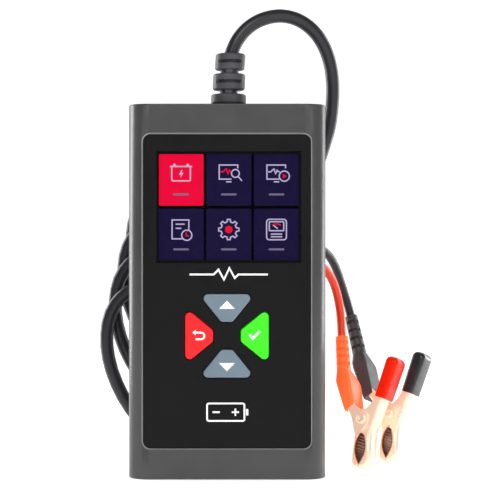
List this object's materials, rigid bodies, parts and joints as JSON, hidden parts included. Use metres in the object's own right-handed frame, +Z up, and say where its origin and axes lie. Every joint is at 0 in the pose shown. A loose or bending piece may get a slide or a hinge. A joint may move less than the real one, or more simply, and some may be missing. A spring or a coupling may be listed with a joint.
{
  "type": "battery tester",
  "caption": "Handheld battery tester with a colour screen, a four-key pad and a coiled cable that ends in sprung crocodile clamps",
  "frame": {"origin": "middle of the base that the case stands on", "axes": "+X to the user's right, +Y from the screen to the back, +Z up along the case"},
  "size_m": [0.116, 0.0517, 0.1583],
  "materials": {
    "case_plastic": "fine matt moulded grain",
    "panel_gloss": "satin black overlay",
    "lens": "clear hard-coated window",
    "display": "dark display glass",
    "steel": "bright plated steel",
    "circuit_board": "solder mask",
    "silicone": "matt silicone",
    "black_plastic": "moulded",
    "white_plastic": "moulded",
    "flex_film": "polyimide film",
    "wire_sheath": "soft sheath",
    "black_rubber": "matt moulded rubber",
    "cable_sheath": "satin sheath",
    "red_sheath": "satin sheath",
    "tie_fabric": "woven hook-and-loop strap",
    "key_blue_grey": "satin",
    "key_red": "satin",
    "key_green": "satin",
    "white_print": "printed ink",
    "red_vinyl": "soft vinyl",
    "black_vinyl": "soft vinyl",
    "copper_plate": "copper-plated sheet steel"
  },
  "bodies": {
    "case": {"front_cover": "case_plastic", "rear_cover": "case_plastic", "face_panel": "panel_gloss", "screen_lens": "lens", "lcd_glass": "display", "lcd_frame": "steel", "main_board": "circuit_board", "dome_switches": "steel", "keypad_mat": "silicone", "controller_chip": "black_plastic", "load_transistors": "black_plastic", "buzzer": "black_plastic", "cable_header": "white_plastic", "flex_ribbon": "flex_film", "inner_wires": "wire_sheath", "case_screws": "steel", "board_screws": "steel", "strain_relief": "black_rubber", "cable": "cable_sheath", "coil": "cable_sheath", "cable_tail": "cable_sheath", "cable_tie": "tie_fabric", "splitter": "black_rubber", "red_lead": "red_sheath", "black_lead": "cable_sheath", "red_boot": "red_vinyl", "red_fixed_jaw": "copper_plate", "red_pivot_pin": "copper_plate", "red_spring": "steel", "red_terminal": "steel", "black_boot": "black_vinyl", "black_fixed_jaw": "copper_plate", "black_pivot_pin": "copper_plate", "black_spring": "steel", "black_terminal": "steel"},
    "up_key": {"up_button": "key_blue_grey", "up_mark": "white_print"},
    "down_key": {"down_button": "key_blue_grey", "down_mark": "white_print"},
    "back_key": {"back_button": "key_red", "back_mark": "white_print"},
    "ok_key": {"ok_button": "key_green", "ok_mark": "white_print"},
    "red_jaw": {"red_moving_jaw": "copper_plate", "red_sleeve": "red_vinyl"},
    "black_jaw": {"black_moving_jaw": "copper_plate", "black_sleeve": "black_vinyl"}
  },
  "joints": [
    {"name": "up_press", "type": "slide", "parent": "case", "child": "up_key", "axis": [0, 1, 0], "range_m": [0, 0.0008], "stiffness_N_per_m": 600, "springref_m": -0.0008},
    {"name": "down_press", "type": "slide", "parent": "case", "child": "down_key", "axis": [0, 1, 0], "range_m": [0, 0.0008], "stiffness_N_per_m": 600, "springref_m": -0.0008},
    {"name": "back_press", "type": "slide", "parent": "case", "child": "back_key", "axis": [0, 1, 0], "range_m": [0, 0.0008], "stiffness_N_per_m": 600, "springref_m": -0.0008},
    {"name": "ok_press", "type": "slide", "parent": "case", "child": "ok_key", "axis": [0, 1, 0], "range_m": [0, 0.0008], "stiffness_N_per_m": 600, "springref_m": -0.0008},
    {"name": "red_clamp_open", "type": "hinge", "parent": "case", "child": "red_jaw", "pos_m": [0.0478, 0.013, 0.0175], "axis": [-0.483, -0.8365, 0.2588], "range_deg": [0, 28], "stiffness_Nm_per_rad": 0.15, "springref_deg": -28.65},
    {"name": "black_clamp_open", "type": "hinge", "parent": "case", "child": "black_jaw", "pos_m": [0.0578, 0.0212, 0.0186], "axis": [-0.483, -0.8365, 0.2588], "range_deg": [0, 28], "stiffness_Nm_per_rad": 0.15, "springref_deg": -28.65}
  ]
}
